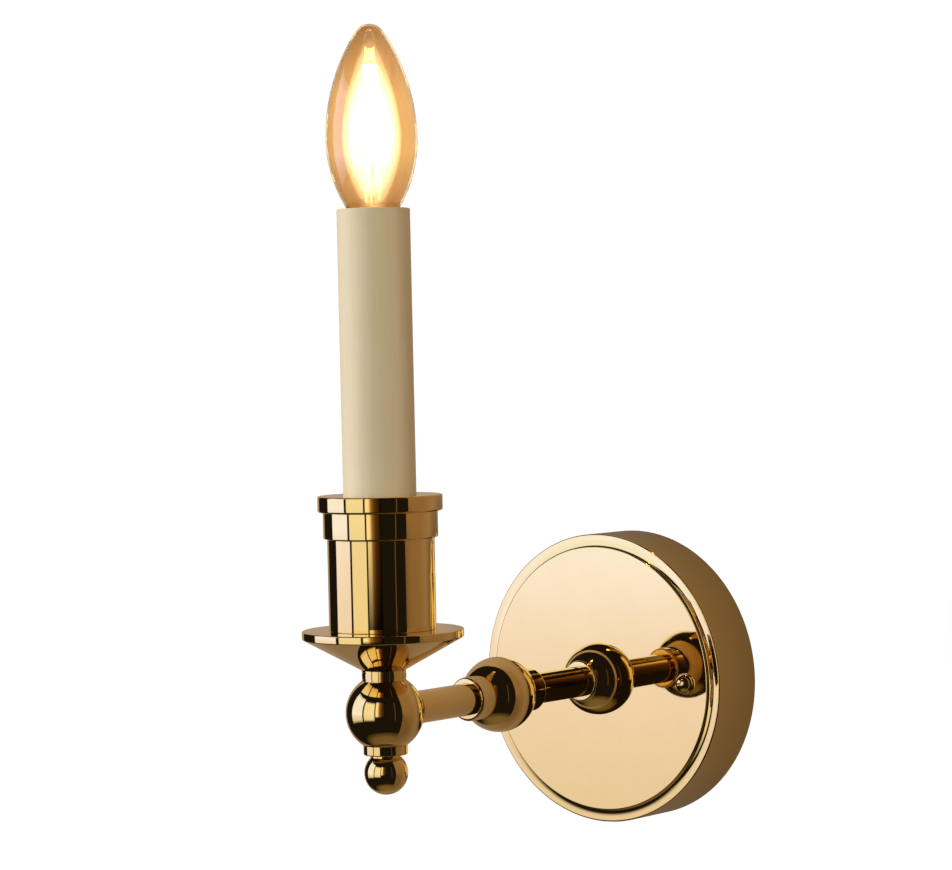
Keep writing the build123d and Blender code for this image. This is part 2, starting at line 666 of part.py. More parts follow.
def bulb_cap():
    """Rolled E14 cap, its thread drawn as rounded rings."""
    inner_r = CAP_ROOT_R - CAP_WALL
    points = [(5.2, CAP_LOW), (CAP_ROOT_R, CAP_LOW + 1.4)]
    radii = [0, 0.4]
    for turn in range(CAP_TURNS):
        crest_z = CAP_LOW + 1.4 + (turn + 0.5) * CAP_PITCH
        points += [(CAP_CREST_R, crest_z), (CAP_ROOT_R, crest_z + CAP_PITCH / 2)]
        radii += [1.2, 1.2]
    points += [(CAP_ROOT_R, CAP_BAND_LOW), (CAP_BAND_R, CAP_BAND_LOW), (CAP_BAND_R, CAP_TOP)]
    points += [(GLASS_NECK_R + 0.02, CAP_TOP), (GLASS_NECK_R + 0.02, GLASS_LOW), (inner_r, GLASS_LOW)]
    points += [(inner_r, CAP_LOW + 1.4), (4.8, CAP_LOW)]
    radii += [0, 0.3, 0.3, 0, 0, 0, 0, 0]
    return on_candle_axis(turned(points, radii))


def bulb_insulator():
    """Dark glass insulator between the cap and its tip contact."""
    points = [(0, TIP_LOW + 1.0), (3.4, TIP_LOW + 1.0), (4.8, CAP_LOW), (0, CAP_LOW)]
    return on_candle_axis(turned(points, [0, 0.4, 0, 0]))


def bulb_tip():
    """Solder contact at the bottom of the lamp."""
    points = [(0, TIP_LOW), (1.9, TIP_LOW), (2.3, TIP_LOW + 1.0), (0, TIP_LOW + 1.0)]
    return on_candle_axis(turned(points, [0, 0.5, 0, 0]))


# ------------------------------------------------------------------------------ wiring


def bend_radii(points):
    """Largest comfortable radius at each corner of a wire's route."""
    radii = []
    for before, corner, after in zip(points, points[1:], points[2:]):
        run_in = Vector(*corner) - Vector(*before)
        run_out = Vector(*after) - Vector(*corner)
        turn = radians(run_in.get_angle(run_out))
        shorter = min(run_in.length, run_out.length)
        radii.append(min(WIRE_BEND_R, 0.45 * shorter / tan(turn / 2)))
    return radii


def wire(points):
    """Insulated wire along straight runs joined by tangent arcs."""
    path = FilletPolyline(*points, radius=bend_radii(points))
    section = Plane(origin=path @ 0, z_dir=path % 0) * Circle(WIRE_R)
    return sweep(section, path=path)


def lamp_wire(side):
    """Wire from a way of the terminal block through arm, ball and stem to the holder."""
    block_x = min(side * BLOCK_PITCH, 0)
    x = side * WIRE_GAP
    end_x = side * (TERMINAL_X + 1.3)
    points = [(block_x, -BARREL_Y, BLOCK_Z - 3), (block_x, -BARREL_Y, 0.5), (x, -12.5, 0)]
    points += [(x, -REACH, 0), (x, -REACH, STEM_TOP + 2), (end_x, -REACH, STEM_TOP + 8.5)]
    points += [(end_x, -REACH, TERMINAL_Z + 2)]
    return wire(points)


def live_wire():
    """Brown wire to the centre contact."""
    return lamp_wire(-1)


def neutral_wire():
    """Blue wire to the shell contact."""
    return lamp_wire(1)


def earth_wire():
    """Green and yellow wire from the block to the earth tag on the strap."""
    reach = 6.5 * sqrt(0.5)
    bend = 14.8 * sqrt(0.5)
    points = [(BLOCK_PITCH, -BARREL_Y, BLOCK_Z - 3), (BLOCK_PITCH, -BARREL_Y, -1)]
    points += [(bend, -4.3, EARTH_SCREW_Z + bend), (reach, -4.3, EARTH_SCREW_Z + reach)]
    return wire(points)


PIECES = [
    backplate, wall_bracket, plate_studs, stud_nuts, dome_nuts,
    cable_grommet, earth_screw, earth_tag,
    terminal_block, terminal_barrels, terminal_screws, block_screws,
    arm_tie_tube, stem_tube, lock_nuts, washers, wall_dome, rear_arm_tube, arm_knop,
    front_arm_tube, arm_end_ring, junction_ball, finial, neck_collar, drip_tray,
    candle_cup, cup_rim_ring, candle_sleeve,
    holder_base, holder_core, centre_contact, shell_contact, holder_screw_shell,
    holder_skirt, holder_screws,
    bulb_glass, bulb_stem, bulb_filaments, bulb_supports, bulb_cap, bulb_insulator, bulb_tip,
    live_wire, neutral_wire, earth_wire,
]

os.makedirs("parts", exist_ok=True)
for piece in PIECES:
    export_step(piece(), f"parts/{piece.__name__}.step")
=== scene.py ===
import json
from math import acos, atan2, ceil, cos, degrees, pi, radians, sin, sqrt, tan

import bmesh
import bpy
from mathutils import Matrix, Vector


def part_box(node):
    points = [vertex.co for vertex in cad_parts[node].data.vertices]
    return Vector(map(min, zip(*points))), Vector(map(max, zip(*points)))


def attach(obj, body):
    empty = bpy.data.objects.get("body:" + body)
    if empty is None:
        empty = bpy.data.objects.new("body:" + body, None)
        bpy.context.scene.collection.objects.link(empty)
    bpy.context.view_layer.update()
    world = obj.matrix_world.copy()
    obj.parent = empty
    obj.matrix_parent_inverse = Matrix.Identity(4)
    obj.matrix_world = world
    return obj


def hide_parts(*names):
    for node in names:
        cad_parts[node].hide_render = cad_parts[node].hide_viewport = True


# Looks of the polished brass candle wall light.  Metres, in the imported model's frame:
# the wall is y = 0, the arm runs along -Y and the candle stands along +Z.

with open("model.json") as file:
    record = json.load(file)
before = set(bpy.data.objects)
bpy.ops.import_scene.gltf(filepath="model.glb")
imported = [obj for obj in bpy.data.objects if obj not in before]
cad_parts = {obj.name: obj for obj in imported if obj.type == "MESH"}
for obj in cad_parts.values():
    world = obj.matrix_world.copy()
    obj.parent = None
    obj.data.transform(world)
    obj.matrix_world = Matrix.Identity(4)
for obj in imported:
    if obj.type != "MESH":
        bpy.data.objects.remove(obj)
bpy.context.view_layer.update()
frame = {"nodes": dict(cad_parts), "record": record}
for packed_material in list(bpy.data.materials):
    bpy.data.materials.remove(packed_material)

MM = 0.001

# ------------------------------------------------------------------ sizes from the frame


def node_box(node):
    """Lowest and highest corner of a CAD node, in millimetres."""
    low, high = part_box(node)
    return low / MM, high / MM


PLATE_LOW, PLATE_HIGH = node_box("backplate")
PLATE_R = PLATE_HIGH.x
DISC_FACE = -PLATE_LOW.y
BALL_R = node_box("junction_ball")[1].x
TRAY_LOW, TRAY_HIGH = node_box("drip_tray")
REACH = -(TRAY_LOW.y + TRAY_HIGH.y) / 2
SLEEVE_LOW, SLEEVE_HIGH = node_box("candle_sleeve")
GLASS_LOW, GLASS_HIGH = node_box("bulb_glass")

# Outline sizes, the same as in the CAD model, in millimetres
PLATE_WALL = 1.5
DISC_R = 55.0
DISC_RISE = 1.4
PLATE_DEPTH = DISC_FACE - DISC_RISE
CLEAR_R = 5.15
SOCKET_R = 6.4
SOCKET_DEPTH = 4.0
NECK_R = 8.5
NECK_TOP = 16.4
TRAY_TOP = 31.8
CUP_TOP = 77.0
FINIAL_STUD_R = 3.0
SEAT_GAP = 0.02


# --------------------------------------------------------------------------- node helpers


def bare_material(name):
    """Material whose node tree holds only its output node."""
    material = bpy.data.materials.new(name)
    material.use_nodes = True
    tree = material.node_tree
    tree.nodes.clear()
    return material, tree, tree.nodes.new("ShaderNodeOutputMaterial")


def new_material(name):
    """Material with a Principled shader and nothing else."""
    material, tree, output = bare_material(name)
    shader = tree.nodes.new("ShaderNodeBsdfPrincipled")
    tree.links.new(shader.outputs["BSDF"], output.inputs["Surface"])
    return material, tree, shader


def object_coordinates(tree, scale=(1, 1, 1)):
    """Object coordinates, stretched by scale."""
    place = tree.nodes.new("ShaderNodeTexCoord")
    stretch = tree.nodes.new("ShaderNodeMapping")
    stretch.inputs["Scale"].default_value = scale
    tree.links.new(place.outputs["Object"], stretch.inputs["Vector"])
    return stretch.outputs["Vector"]


def noise(tree, vector, scale, detail=4.0, roughness=0.5):
    """Noise texture's value for a vector."""
    node = tree.nodes.new("ShaderNodeTexNoise")
    node.inputs["Scale"].default_value = scale
    node.inputs["Detail"].default_value = detail
    node.inputs["Roughness"].default_value = roughness
    tree.links.new(vector, node.inputs["Vector"])
    return node.outputs["Fac"]


def map_range(tree, value, low, high, to_low, to_high):
    """Value mapped from one range to another, held at its ends."""
    node = tree.nodes.new("ShaderNodeMapRange")
    node.inputs["From Min"].default_value = low
    node.inputs["From Max"].default_value = high
    node.inputs["To Min"].default_value = to_low
    node.inputs["To Max"].default_value = to_high
    tree.links.new(value, node.inputs["Value"])
    return node.outputs["Result"]


def mix_colours(tree, factor, first, second):
    """Blend of two colours by a factor."""
    node = tree.nodes.new("ShaderNodeMix")
    node.data_type = "RGBA"
    tree.links.new(factor, node.inputs["Factor"])
    for socket, colour in (("A", first), ("B", second)):
        target = [s for s in node.inputs if s.name == socket and s.type == "RGBA"][0]
        if isinstance(colour, tuple):
            target.default_value = (*colour, 1)
        else:
            tree.links.new(colour, target)
    return [s for s in node.outputs if s.type == "RGBA"][0]


def colour_ramp(tree, value, stops):
    """Colour along a value, from (position, colour) stops."""
    node = tree.nodes.new("ShaderNodeValToRGB")
    elements = node.color_ramp.elements
    while len(elements) < len(stops):
        elements.new(0.5)
    while len(elements) > len(stops):
        elements.remove(elements[-1])
    for element, (position, colour) in zip(elements, stops):
        element.position = position
        element.color = (*colour, 1)
    tree.links.new(value, node.inputs["Fac"])
    return node.outputs["Color"]


def multiplied(tree, first, second):
    """Product of two colours, each a tuple or a socket."""
    node = tree.nodes.new("ShaderNodeVectorMath")
    node.operation = "MULTIPLY"
    for target, colour in zip(node.inputs, (first, second)):
        if isinstance(colour, tuple):
            target.default_value = colour
        else:
            tree.links.new(colour, target)
    return node.outputs["Vector"]


def axis_value(tree, vector, axis):
    """One coordinate of a vector."""
    node = tree.nodes.new("ShaderNodeSeparateXYZ")
    tree.links.new(vector, node.inputs["Vector"])
    return node.outputs[axis]


def bump(tree, shader, height, distance, strength=1.0, below=None):
    """Bump of a height, in metres, on a shader's normal."""
    node = tree.nodes.new("ShaderNodeBump")
    node.inputs["Strength"].default_value = strength
    node.inputs["Distance"].default_value = distance
    tree.links.new(height, node.inputs["Height"])
    if below is not None:
        tree.links.new(below, node.inputs["Normal"])
    tree.links.new(node.outputs["Normal"], shader.inputs["Normal"])
    return node.outputs["Normal"]


# ------------------------------------------------------------------------------ materials


def polished_brass():
    """Mirror-polished brass under clear lacquer, with faint buffing marks and film."""
    material, tree, shader = new_material("polished_brass")
    place = object_coordinates(tree)
    film = noise(tree, place, 38.0, 5.0, 0.6)
    worn = map_range(tree, film, 0.35, 0.65, 0, 1)
    colour = mix_colours(tree, worn, (0.90, 0.655, 0.275), (0.885, 0.635, 0.255))
    tree.links.new(colour, shader.inputs["Base Color"])
    shader.inputs["Metallic"].default_value = 1.0
    hazy = noise(tree, place, 120.0, 6.0, 0.65)
    tree.links.new(map_range(tree, hazy, 0.3, 0.8, 0.02, 0.05), shader.inputs["Roughness"])
    waves = noise(tree, place, 45.0, 2.0, 0.4)
    first = bump(tree, shader, waves, 0.00003, 0.6)
    marks = noise(tree, object_coordinates(tree, (1, 1, 14)), 700.0, 3.0, 0.7)
    bump(tree, shader, marks, 0.0000006, 0.5, first)
    return material


def raw_brass():
    """Machined brass, duller, with fine turning lines."""
    material, tree, shader = new_material("raw_brass")
    place = object_coordinates(tree)
    film = noise(tree, place, 160.0, 5.0, 0.6)
    colour = mix_colours(tree, film, (0.66, 0.47, 0.20), (0.78, 0.60, 0.30))
    tree.links.new(colour, shader.inputs["Base Color"])
    shader.inputs["Metallic"].default_value = 1.0
    tree.links.new(map_range(tree, film, 0.3, 0.7, 0.26, 0.40), shader.inputs["Roughness"])
    lines = noise(tree, object_coordinates(tree, (1, 1, 30)), 400.0, 2.0, 0.5)
    bump(tree, shader, lines, 0.00002, 0.4)
    return material


def zinc_steel():
    """Bright zinc-plated steel with a cloudy passivated film."""
    material, tree, shader = new_material("zinc_steel")
    place = object_coordinates(tree)
    clouds = noise(tree, place, 90.0, 4.0, 0.55)
    colour = mix_colours(tree, clouds, (0.50, 0.52, 0.56), (0.70, 0.70, 0.66))
    tree.links.new(colour, shader.inputs["Base Color"])
    shader.inputs["Metallic"].default_value = 1.0
    tree.links.new(map_range(tree, clouds, 0.3, 0.7, 0.24, 0.42), shader.inputs["Roughness"])
    grain = noise(tree, object_coordinates(tree, (30, 1, 1)), 300.0, 3.0, 0.5)
    bump(tree, shader, grain, 0.00002, 0.3)
    return material


def cream_sleeve():
    """Cream card-like candle sleeve: satin, with faint streaks along it and fine pores."""
    material, tree, shader = new_material("cream_sleeve")
    streaks = noise(tree, object_coordinates(tree, (1, 1, 0.06)), 220.0, 3.0, 0.55)
    clouds = noise(tree, object_coordinates(tree), 40.0, 3.0, 0.5)
    along = map_range(tree, streaks, 0.3, 0.7, 0, 1)
    fine = mix_colours(tree, along, (0.76, 0.655, 0.435), (0.80, 0.695, 0.475))
    aged = map_range(tree, clouds, 0.3, 0.7, 0, 0.35)
    colour = mix_colours(tree, aged, fine, (0.73, 0.615, 0.39))
    tree.links.new(colour, shader.inputs["Base Color"])
    tree.links.new(map_range(tree, clouds, 0.3, 0.7, 0.42, 0.55), shader.inputs["Roughness"])
    shader.inputs["Specular IOR Level"].default_value = 0.35
    pores = noise(tree, object_coordinates(tree), 1500.0, 2.0, 0.5)
    bump(tree, shader, pores, 0.00002, 0.35)
    return material


def amber_glass():
    """Thin amber-lustred lamp glass, with painted shade: darker towards the neck and the tip, away from the
    filaments' glow.
    """
    material, tree, shader = new_material("amber_glass")
    place = object_coordinates(tree)
    low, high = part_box("bulb_glass")
    rise = map_range(tree, axis_value(tree, place, "Z"), low.z, high.z, 0, 1)
    # painted shade: the amber tint is darkened towards the neck and the tip, where the filaments' glow is
    # weaker
    stops = [(0.10, (0.64, 0.41, 0.20)), (0.38, (0.96, 0.68, 0.35))]
    stops += [(0.66, (0.96, 0.68, 0.35)), (0.97, (0.64, 0.43, 0.23))]
    tree.links.new(colour_ramp(tree, rise, stops), shader.inputs["Base Color"])
    shader.inputs["Transmission Weight"].default_value = 1.0
    shader.inputs["IOR"].default_value = 1.5
    shader.inputs["Specular IOR Level"].default_value = 1.0
    shader.inputs["Coat Weight"].default_value = 0.55
    shader.inputs["Coat Roughness"].default_value = 0.0
    shader.inputs["Coat IOR"].default_value = 1.8
    film = noise(tree, place, 60.0, 3.0, 0.5)
    tree.links.new(map_range(tree, film, 0.3, 0.8, 0.0, 0.012), shader.inputs["Roughness"])
    bump(tree, shader, film, 0.00002, 0.4)
    return material


def clear_glass():
    """Clear glass of the lamp's stem, with faint drawing ripples."""
    material, tree, shader = new_material("clear_glass")
    shader.inputs["Base Color"].default_value = (0.96, 0.95, 0.92, 1)
    shader.inputs["Transmission Weight"].default_value = 1.0
    shader.inputs["IOR"].default_value = 1.5
    shader.inputs["Roughness"].default_value = 0.01
    ripples = noise(tree, object_coordinates(tree, (1, 1, 4)), 150.0, 2.0, 0.5)
    bump(tree, shader, ripples, 0.00005, 0.5)
    return material


def filament():
    """Phosphor-coated filament rod, lit."""
    material, tree, shader = new_material("filament")
    beads = noise(tree, object_coordinates(tree), 900.0, 2.0, 0.5)
    colour = mix_colours(tree, beads, (0.95, 0.72, 0.30), (1.0, 0.82, 0.45))
    tree.links.new(colour, shader.inputs["Base Color"])
    shader.inputs["Roughness"].default_value = 0.6
    shader.inputs["Emission Color"].default_value = (1.0, 0.78, 0.42, 1)
    shader.inputs["Emission Strength"].default_value = 14.0
    return material


def lead_wire():
    """Thin plated wire and post inside the lamp, gold by the filaments' light."""
    material, tree, shader = new_material("lead_wire")
    film = noise(tree, object_coordinates(tree), 500.0, 2.0, 0.5)
    colour = mix_colours(tree, film, (0.72, 0.50, 0.22), (0.80, 0.60, 0.30))
    tree.links.new(colour, shader.inputs["Base Color"])
    shader.inputs["Metallic"].default_value = 1.0
    shader.inputs["Roughness"].default_value = 0.3
    return material


def cap_metal():
    """Nickel-plated lamp cap with rolling marks round it."""
    material, tree, shader = new_material("cap_metal")
    marks = noise(tree, object_coordinates(tree, (1, 1, 12)), 260.0, 4.0, 0.6)
    colour = mix_colours(tree, marks, (0.62, 0.60, 0.55), (0.74, 0.72, 0.67))
    tree.links.new(colour, shader.inputs["Base Color"])
    shader.inputs["Metallic"].default_value = 1.0
    tree.links.new(map_range(tree, marks, 0.3, 0.7, 0.16, 0.30), shader.inputs["Roughness"])
    bump(tree, shader, marks, 0.00002, 0.3)
    return material


def solder():
    """Dull solder with a lumpy skin."""
    material, tree, shader = new_material("solder")
    lumps = noise(tree, object_coordinates(tree), 450.0, 3.0, 0.5)
    colour = mix_colours(tree, lumps, (0.44, 0.44, 0.44), (0.62, 0.62, 0.60))
    tree.links.new(colour, shader.inputs["Base Color"])
    shader.inputs["Metallic"].default_value = 1.0
    tree.links.new(map_range(tree, lumps, 0.3, 0.7, 0.28, 0.50), shader.inputs["Roughness"])
    bump(tree, shader, lumps, 0.0001, 0.5)
    return material


def moulding(name, dark, light, rough_low, rough_high, grain=900.0, depth=0.00002):
    """Moulded plastic, rubber or glass bead: slight colour drift and a fine skin."""
    material, tree, shader = new_material(name)
    place = object_coordinates(tree)
    drift = noise(tree, place, 70.0, 3.0, 0.5)
    skin = noise(tree, place, grain, 3.0, 0.6)
    tree.links.new(mix_colours(tree, drift, dark, light), shader.inputs["Base Color"])
    tree.links.new(map_range(tree, skin, 0.3, 0.7, rough_low, rough_high), shader.inputs["Roughness"])
    bump(tree, shader, skin, depth, 0.4)
    return material


def striped_insulation():
    """Green insulation with slanting yellow stripes."""
    material, tree, shader = new_material("green_yellow_insulation")
    wave = tree.nodes.new("ShaderNodeTexWave")
    wave.bands_direction = "DIAGONAL"
    wave.inputs["Scale"].default_value = 60.0
    tree.links.new(object_coordinates(tree), wave.inputs["Vector"])
    stripe = map_range(tree, wave.outputs["Fac"], 0.45, 0.55, 0, 1)
    colour = mix_colours(tree, stripe, (0.05, 0.26, 0.06), (0.80, 0.62, 0.05))
    tree.links.new(colour, shader.inputs["Base Color"])
    skin = noise(tree, object_coordinates(tree), 800.0, 2.0, 0.5)
    tree.links.new(map_range(tree, skin, 0.3, 0.7, 0.36, 0.5), shader.inputs["Roughness"])
    return material


def make_materials():
    """One material per slot of the record."""
    made = [
        polished_brass(), raw_brass(), zinc_steel(), cream_sleeve(), amber_glass(), clear_glass(),
        filament(), lead_wire(), cap_metal(), solder(), striped_insulation(),
        moulding("black_glass", (0.012, 0.010, 0.016), (0.03, 0.025, 0.04), 0.08, 0.16),
        moulding("holder_black", (0.014, 0.014, 0.014), (0.03, 0.03, 0.03), 0.28, 0.42),
        moulding("holder_white", (0.66, 0.64, 0.57), (0.76, 0.74, 0.68), 0.42, 0.6),
        moulding("block_nylon", (0.66, 0.66, 0.60), (0.78, 0.78, 0.73), 0.38, 0.55),
        moulding("black_rubber", (0.012, 0.012, 0.012), (0.03, 0.03, 0.03), 0.6, 0.8, 500.0, 0.00005),
        moulding("brown_insulation", (0.10, 0.04, 0.015), (0.16, 0.065, 0.025), 0.34, 0.5),
        moulding("blue_insulation", (0.01, 0.05, 0.22), (0.015, 0.075, 0.30), 0.34, 0.5),
    ]
    return {material.name: material for material in made}


def dress_cad_nodes(materials):
    """Gives each CAD node the material of its slot, and returns the slot of each node."""
    slots = {entry["node"]: entry["material_slot"] for entry in frame["record"]["subparts"]}
    for node, piece in frame["nodes"].items():
        piece.data.materials.clear()
        piece.data.materials.append(materials[slots[node]])
    return slots


# ---------------------------------------------------------------- turned pieces as lathes


def arc(centre, radius, start, end, step=2.0):
    """Points on an arc about a centre (radius, height), between two angles in degrees."""
    count = max(2, ceil(abs(end - start) / step))
    points = []
    for index in range(count + 1):
        angle = radians(start + (end - start) * index / count)
        points.append((centre[0] + radius * cos(angle), centre[1] + radius * sin(angle)))
    return points


def rounded(corners, radii, step=8.0):
    """Open outline through corners (radius, height), each rounded by its own radius."""
    points = [corners[0]]
    for before, corner, after, radius in zip(corners, corners[1:], corners[2:], radii):
        if radius == 0:
            points.append(corner)
            continue
        to_before = Vector(before) - Vector(corner)
        to_after = Vector(after) - Vector(corner)
        half = to_before.angle(to_after) / 2
        reach = radius / tan(half)
        middle = (to_before.normalized() + to_after.normalized()).normalized()
        centre = Vector(corner) + middle * (radius / sin(half))
        first = Vector(corner) + to_before.normalized() * reach - centre
        last = Vector(corner) + to_after.normalized() * reach - centre
        turn = degrees(pi - 2 * half)
        count = max(2, ceil(turn / step))
        start = atan2(first.y, first.x)
        sweep = atan2(first.x * last.y - first.y * last.x, first.dot(last))
        for index in range(count + 1):
            angle = start + sweep * index / count
            points.append((centre.x + radius * cos(angle), centre.y + radius * sin(angle)))
    points.append(corners[-1])
    return points


def spline(a, b, c, d, t):
    """Value between b and c on a smooth curve through four values."""
    bend = 2 * a - 5 * b + 4 * c - d
    twist = 3 * b - a - 3 * c + d
    return 0.5 * (2 * b + (c - a) * t + bend * t**2 + twist * t**3)


def smooth_outline(points, steps=5):
    """Points on a smooth curve through an outline's points, its two ends kept."""
    padded = [points[0]] + points + [points[-1]]
    smooth = []
    for before, start, end, after in zip(padded, padded[1:], padded[2:], padded[3:]):
        for step in range(steps):
            radius, height = [spline(*values, step / steps) for values in zip(before, start, end, after)]
            smooth.append((max(radius, 0), height))
    smooth.append(points[-1])
    return smooth


def lathe(name, outline, place, closed=True, segments=256, sharp=28.0):
    """Mesh turned about Z from (radius, height) points in millimetres, with sharp edges kept."""
    mesh = bmesh.new()
    rings = []
    for radius, height in outline:
        if radius < 1e-6:
            rings.append([mesh.verts.new((0, 0, height * MM))])
            continue
        ring = []
        for index in range(segments):
            angle = 2 * pi * index / segments
            ring.append(mesh.verts.new((radius * MM * cos(angle), radius * MM * sin(angle), height * MM)))
        rings.append(ring)
    pairs = list(zip(rings, rings[1:]))
    if closed:
        pairs.append((rings[-1], rings[0]))
    for low, high in pairs:
        if len(low) == 1 and len(high) == 1:
            continue
        for index in range(segments):
            follow = (index + 1) % segments
            if len(low) == 1:
                mesh.faces.new((low[0], high[follow], high[index]))
            elif len(high) == 1:
                mesh.faces.new((low[index], low[follow], high[0]))
            else:
                mesh.faces.new((low[index], low[follow], high[follow], high[index]))
    bmesh.ops.recalc_face_normals(mesh, faces=mesh.faces)
    mesh.transform(place)
    data = bpy.data.meshes.new(name)
    mesh.to_mesh(data)
    mesh.free()
    data.shade_smooth()
    data.set_sharp_from_angle(angle=radians(sharp))
    piece = bpy.data.objects.new(name, data)
    bpy.context.scene.collection.objects.link(piece)
    return piece


ON_ARM = Matrix.Rotation(radians(90), 4, "X")
ON_CANDLE = Matrix.Translation((0, -REACH * MM, 0))


def on_arm_at(distance):
    """Place for a piece turned about a point of the arm, a distance from the wall."""
    return Matrix.Translation((0, -distance * MM, 0)) @ ON_ARM


def finish_piece(piece, node, body, materials, slots):
    """The piece takes the node's material and rides in its place."""
    piece.data.materials.append(materials[slots[node]])
    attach(piece, body)
    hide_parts(node)
    return piece


def ball_angle(height_r, ball_r=BALL_R):
    """Angle in degrees above a ball's equator where its circle has this radius."""
    return degrees(acos(height_r / ball_r))


def plate_outline():
    """Backplate: side wall, gently flared rim, cove and raised disc, then the inside."""
    inner_disc_r = DISC_R - PLATE_WALL
    inner_r = PLATE_R - PLATE_WALL
    back = DISC_FACE - PLATE_WALL
    step_back = PLATE_DEPTH - PLATE_WALL
    flare_start_r, flare_rise = 56.8, 0.28
    corners = [(PLATE_R, 0), (PLATE_R, PLATE_DEPTH), (flare_start_r, PLATE_DEPTH)]
    corners += [(DISC_R, PLATE_DEPTH + flare_rise), (DISC_R, DISC_FACE), (CLEAR_R, DISC_FACE)]
    corners += [(CLEAR_R, back), (inner_disc_r, back), (inner_disc_r, step_back), (inner_r, step_back)]
    corners += [(inner_r, 0)]
    rim_round, flare_round, cove_round, disc_round, inner_round, corner_round = 0.7, 17.0, 0.45, 0.7, 0.5, 1.0
    radii = [rim_round, flare_round, cove_round, disc_round, 0, 0, inner_round, 0, corner_round]
    return rounded(corners, radii, 2.5)


def dome_outline():
    """Half ball on the disc with its lipped socket."""
    lip_r, lip = 8.6, 13.4
    points = [(CLEAR_R, 0), (BALL_R, 0)]
    points += arc((0, 0), BALL_R, 0, ball_angle(lip_r))
    points += rounded([(lip_r, sqrt(BALL_R**2 - lip_r**2)), (lip_r, lip), (SOCKET_R, lip)], [1.0])
    points += [(SOCKET_R, lip - SOCKET_DEPTH), (CLEAR_R, lip - SOCKET_DEPTH)]
    return points


def knop_outline():
    """Ball with a collar each side and a fine groove at each collar's root."""
    collar_r, collar, groove, groove_depth, lip_round = 8.7, 20.5, 0.6, 0.4, 1.1
    groove_r = collar_r - groove_depth
    root = sqrt(BALL_R**2 - collar_r**2)
    top = [(groove_r, root), (groove_r, root + groove), (collar_r, root + groove)]
    top += rounded([(collar_r, root + groove + 0.1), (collar_r, collar), (SOCKET_R, collar)], [lip_round])
    top += [(SOCKET_R, collar - SOCKET_DEPTH), (CLEAR_R, collar - SOCKET_DEPTH)]
    ball = arc((0, 0), BALL_R, -ball_angle(collar_r), ball_angle(collar_r))
    bottom = [(radius, -height) for radius, height in reversed(top)]
    return bottom + ball + top


def arm_tube_outline(low, high):
    """Plain tube between two distances from the wall."""
    outer, inner = 6.35, 5.3
    return [(inner, low), (outer, low), (outer, high), (inner, high)]


def end_ring_outline():
    """Thin grooved ring seated on the ball."""
    ring_r, length, groove, groove_depth = 7.2, 3.0, 0.35, 0.5
    seat = REACH - sqrt(BALL_R**2 - ring_r**2)
    low = seat - length
    middle = seat - length / 2
    corners = [(SOCKET_R, low), (ring_r, low), (ring_r, middle - groove), (ring_r - groove_depth, middle)]
    corners += [(ring_r, middle + groove), (ring_r, seat - SEAT_GAP), (SOCKET_R, seat - SEAT_GAP)]
    return rounded(corners, [0.3, 0.3, 0, 0.3, 0])


def ball_outline():
    """Hollow ball with the stem's and the finial's holes."""
    stem_r, cavity_r = 5.0, 9.5
    outside = arc((0, 0), BALL_R, -ball_angle(FINIAL_STUD_R), ball_angle(stem_r))
    inside = arc((0, 0), cavity_r, ball_angle(stem_r, cavity_r), -ball_angle(FINIAL_STUD_R, cavity_r), 6.0)
    return outside + inside


def finial_outline():
    """Collar, neck and small ball, with the stud inside the big ball."""
    collar_r, collar_low, collar_top, neck_r = 8.5, -16.0, -13.0, 5.8
    ball_r, ball_z, stud_top, seat_r = 8.4, -23.05, -9.5, BALL_R + SEAT_GAP
    neck_angle = ball_angle(neck_r, ball_r)
    points = arc((0, ball_z), ball_r, -90, neck_angle)
    points[0] = (0, ball_z - ball_r)
    points += rounded([(neck_r, collar_low), (collar_r, collar_low), (collar_r, collar_top)], [0.5])[:-1]
    points += arc((0, 0), seat_r, -ball_angle(collar_r, seat_r), -ball_angle(FINIAL_STUD_R, seat_r))
    points += [(FINIAL_STUD_R, stud_top), (0, stud_top)]
    return points


def neck_outline():
    """Collar under the tray with a fine groove near each edge."""
    depth, half, from_edge = 0.3, 0.2, 0.7
    low = sqrt(BALL_R**2 - NECK_R**2)
    points = [(CLEAR_R, sqrt(BALL_R**2 - CLEAR_R**2) + SEAT_GAP), (NECK_R, low + SEAT_GAP)]
    for middle in (low + from_edge, NECK_TOP - from_edge):
        points += [(NECK_R, middle - half), (NECK_R - depth, middle - half)]
        points += [(NECK_R - depth, middle + half), (NECK_R, middle + half)]
    points += [(NECK_R, NECK_TOP), (CLEAR_R, NECK_TOP)]
    return points


def tray_outline():
    """Flat-topped tray with a thick edge and a conical underside."""
    tray_r, edge_low, edge_round = 31.0, 28.8, 0.5
    corners = [(CLEAR_R, NECK_TOP), (NECK_R, NECK_TOP), (tray_r, edge_low), (tray_r, TRAY_TOP)]
    corners += [(CLEAR_R, TRAY_TOP)]
    return rounded(corners, [0, edge_round, edge_round])


def cup_outline():
    """Straight cup with a thicker band round its mouth."""
    cup_r, bore_r, band_r, band_low, floor = 20.5, 18.5, 21.95, 66.9, 34.8
    corners = [(CLEAR_R, TRAY_TOP), (cup_r, TRAY_TOP), (cup_r, band_low), (band_r, band_low)]
    corners += [(band_r, CUP_TOP), (bore_r, CUP_TOP), (bore_r, floor), (CLEAR_R, floor)]
    return rounded(corners, [0.3, 0.3, 0.5, 0.2, 0, 1.0])


def rim_outline():
    """Top ring of the cup, closing the mouth round the sleeve."""
    bore_r, spigot_r, rim_r, top = 14.1, 18.48, 23.9, 83.2
    spigot_low = CUP_TOP - 4.0
    corners = [(bore_r, CUP_TOP), (bore_r, spigot_low), (spigot_r, spigot_low), (spigot_r, CUP_TOP)]
    corners += [(rim_r, CUP_TOP), (rim_r, top), (bore_r, top), (bore_r, CUP_TOP + 1)]
    return rounded(corners, [0, 0.3, 0, 0.8, 0.6, 0.2])


